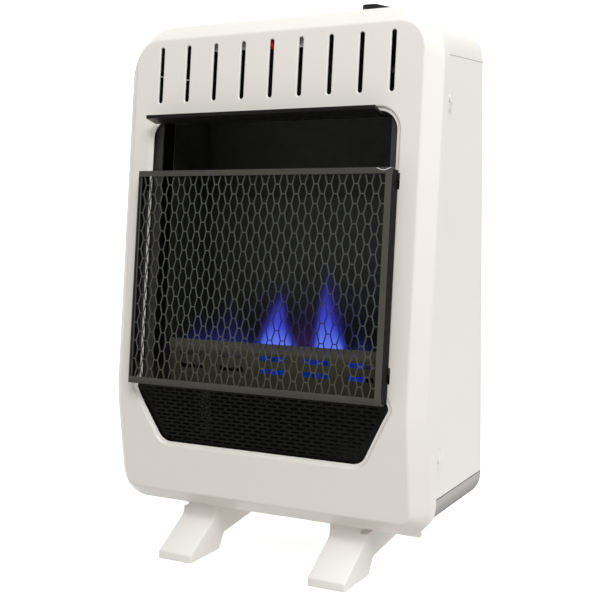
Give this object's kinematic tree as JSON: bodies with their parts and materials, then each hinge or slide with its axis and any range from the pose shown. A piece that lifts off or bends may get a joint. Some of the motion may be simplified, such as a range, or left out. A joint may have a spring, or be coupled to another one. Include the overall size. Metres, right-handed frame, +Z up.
{
  "type": "ventless gas heater",
  "caption": "Free-standing vent-free gas room heater: white leaning front with air slots, black firebox with blue-flame burner behind a lift-off hexagon guard, top control knob, two feet.",
  "frame": {"origin": "floor level under the middle of the object, at the middle of its width and depth", "axes": "+X to the viewer's right when facing the front, +Y to the back (the front faces -Y), +Z up"},
  "size_m": [0.38, 0.2, 0.594],
  "materials": {
    "white_enamel": "smooth white powder enamel, semi-gloss",
    "black_enamel": "black heat-proof enamel, satin",
    "guard_enamel": "dark heat-toned enamel, satin",
    "back_sheet": "white enamel, thinner coat",
    "white_foot": "white enamel, semi-gloss",
    "white_screw": "enamelled screw head",
    "zinc_screw": "zinc plated",
    "aluminised_steel": "aluminised, dull",
    "heat_stained_steel": "olive-grey from heat",
    "brass": "machined",
    "copper": "drawn copper",
    "ceramic": "unglazed",
    "cast_aluminium": "as cast",
    "aluminium_tube": "drawn",
    "black_plastic": "moulded, fine texture",
    "dial_print": "black face with plain white numbers",
    "button_red": "moulded red",
    "red_silicone": "silicone sleeve"
  },
  "bodies": {
    "root": {"front_panel": "white_enamel", "top_cap": "white_enamel", "side_panel_left": "white_enamel", "side_panel_right": "white_enamel", "base_pan": "white_enamel", "back_panel": "back_sheet", "back_screws": "zinc_screw", "side_screws": "white_screw", "foot_left": "white_foot", "foot_right": "white_foot", "foot_screws": "zinc_screw", "firebox_side_left": "black_enamel", "firebox_side_right": "black_enamel", "firebox_back": "black_enamel", "upper_baffle": "black_enamel", "firebox_floor": "black_enamel", "hood": "black_enamel", "top_heat_shield": "aluminised_steel", "lower_grille": "black_enamel", "burner_shield": "heat_stained_steel", "burner_tube": "aluminised_steel", "burner_bracket_left": "aluminised_steel", "burner_bracket_right": "aluminised_steel", "injector": "brass", "pilot_bracket": "aluminised_steel", "pilot_burner": "brass", "electrode_insulator": "ceramic", "electrode_tip": "zinc_screw", "thermocouple": "copper", "gas_valve": "cast_aluminium", "dial_plate": "dial_print", "piezo_igniter": "black_plastic", "piezo_nut": "black_plastic", "regulator": "cast_aluminium", "gas_inlet": "brass", "burner_feed_tube": "aluminium_tube", "inlet_pipe": "aluminium_tube", "pilot_tube": "aluminium_tube", "thermocouple_lead": "copper", "igniter_lead": "red_silicone"},
    "guard": {"guard_mesh": "guard_enamel", "guard_top_rail": "guard_enamel", "guard_bottom_rail": "guard_enamel", "guard_side_left": "guard_enamel", "guard_side_right": "guard_enamel"},
    "valve_rotor": {"valve_rotor": "brass"},
    "knob": {"knob": "black_plastic", "valve_stem": "zinc_screw"},
    "piezo_button": {"piezo_button": "button_red"}
  },
  "joints": [
    {"name": "guard_lift", "type": "slide", "parent": "root", "child": "guard", "axis": [0, 0.1296, 0.9916], "range_m": [0, 0.006]},
    {"name": "knob_turn", "type": "hinge", "parent": "root", "child": "valve_rotor", "pos_m": [0.1, 0.0175, 0.52], "axis": [0, 0, 1], "range_deg": [-150, 30]},
    {"name": "knob_push", "type": "slide", "parent": "valve_rotor", "child": "knob", "axis": [0, 0, -1], "range_m": [0, 0.003], "stiffness_N_per_m": 800, "springref_m": -0.002},
    {"name": "piezo_press", "type": "slide", "parent": "root", "child": "piezo_button", "axis": [0, 0, -1], "range_m": [0, 0.0045], "stiffness_N_per_m": 1500, "springref_m": -0.002}
  ]
}
